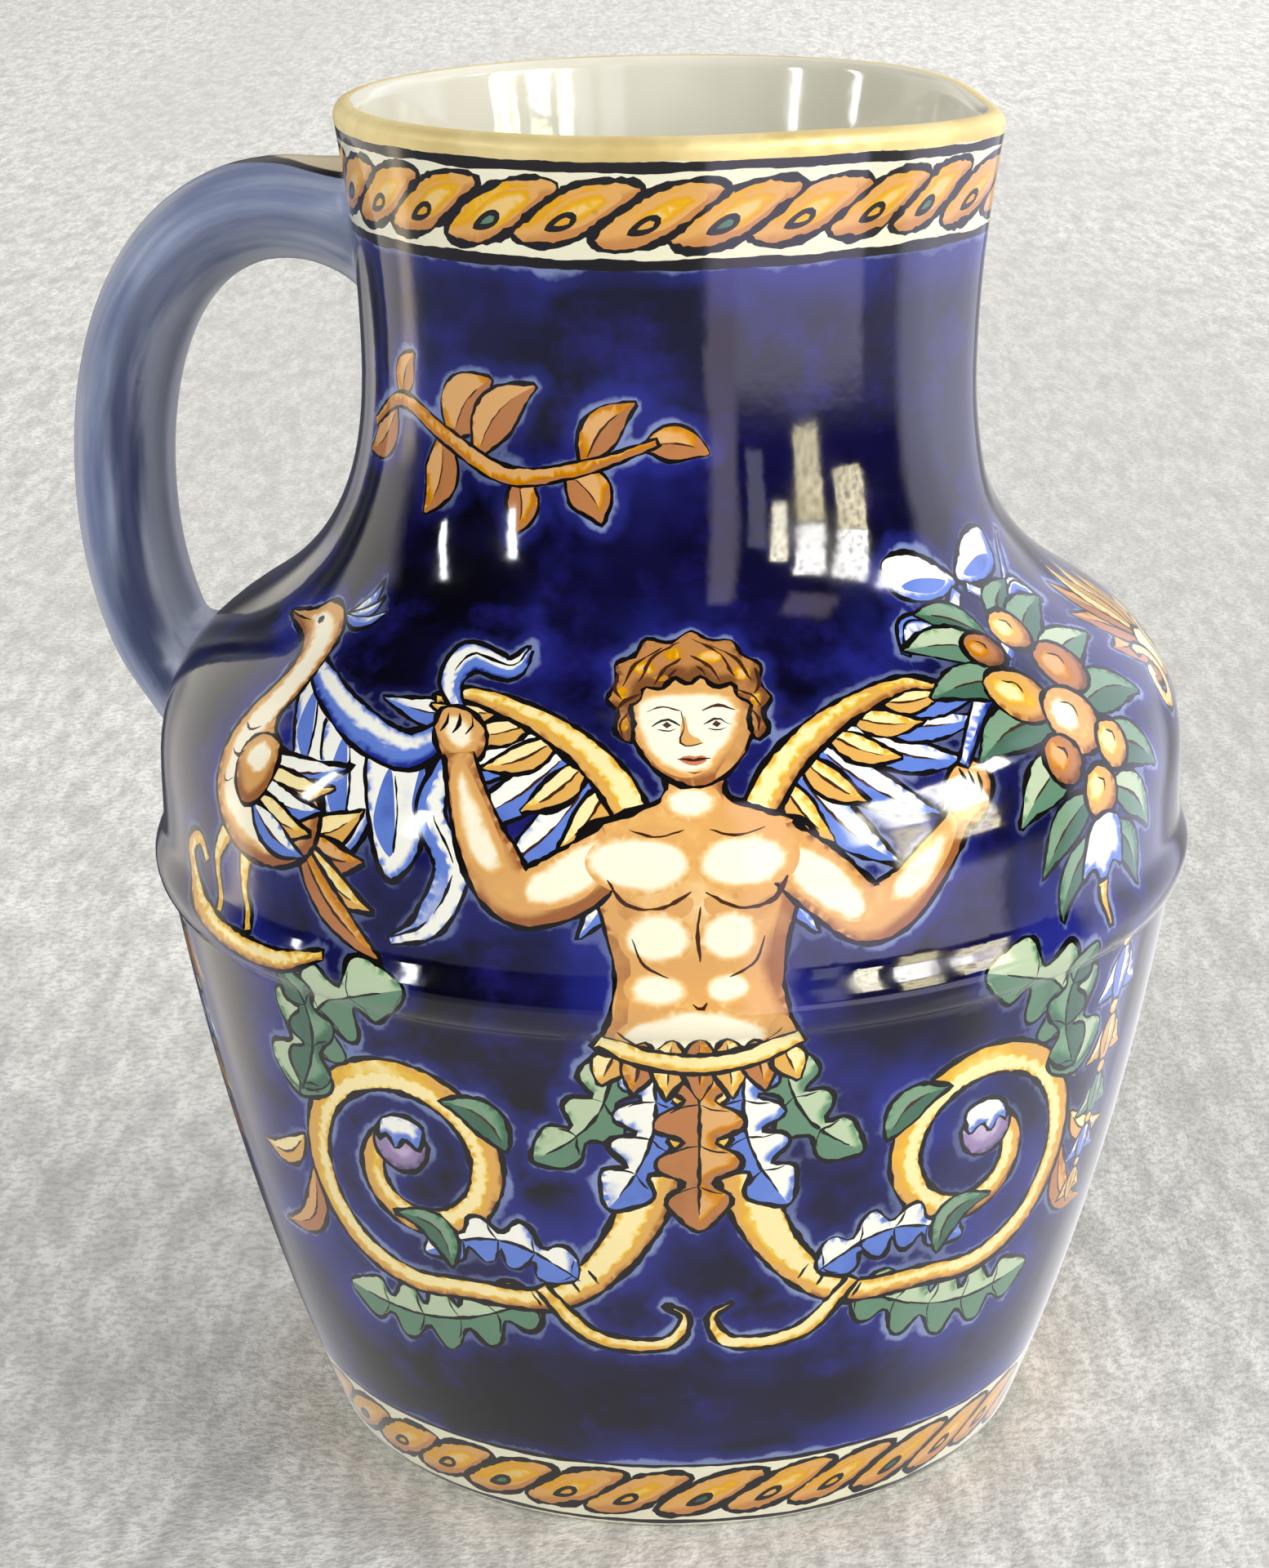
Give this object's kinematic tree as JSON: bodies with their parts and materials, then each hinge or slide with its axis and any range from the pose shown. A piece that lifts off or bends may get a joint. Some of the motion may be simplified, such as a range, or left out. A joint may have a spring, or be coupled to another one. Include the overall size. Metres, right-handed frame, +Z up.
{
  "type": "cream jug",
  "caption": "Small glazed jug for cream: tapered body with a rounded ridge, waisted neck, gilded rim with a pinched spout, and a loop handle.",
  "frame": {"origin": "middle of the foot, on the surface that the jug stands on", "axes": "+Z up along the axis of the body, +X towards the spout, -X towards the handle"},
  "size_m": [0.094, 0.0856, 0.11],
  "materials": {
    "painted_glaze": "gloss"
  },
  "bodies": {
    "root": {"jug": "painted_glaze"}
  },
  "joints": []
}
